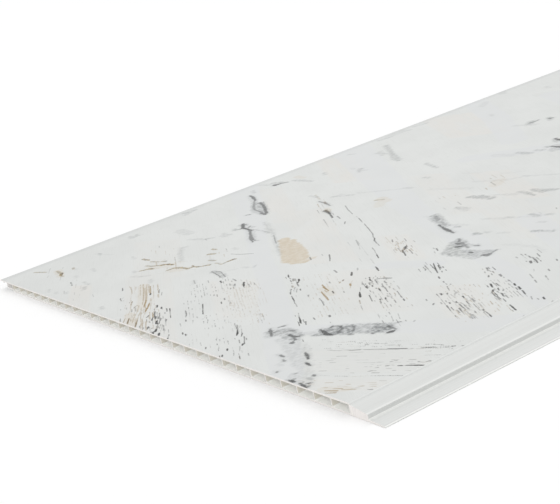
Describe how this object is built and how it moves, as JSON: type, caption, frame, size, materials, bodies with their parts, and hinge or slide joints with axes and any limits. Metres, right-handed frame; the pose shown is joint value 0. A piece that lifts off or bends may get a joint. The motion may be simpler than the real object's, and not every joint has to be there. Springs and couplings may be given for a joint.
{
  "type": "pvc wall panel",
  "caption": "Long thin hollow wall panel with a printed face, a sloping tongue and nailing flange on one long edge and an overlapping lip on the other.",
  "frame": {"origin": "middle of the underside, seen from above", "axes": "+X along the length, +Y across the width from the tongue to the lip, +Z out of the printed face"},
  "size_m": [2.6, 0.395, 0.005],
  "materials": {
    "pvc": "smooth satin, printed on the face"
  },
  "bodies": {
    "root": {"pvc_wall_panel": "pvc"}
  },
  "joints": []
}
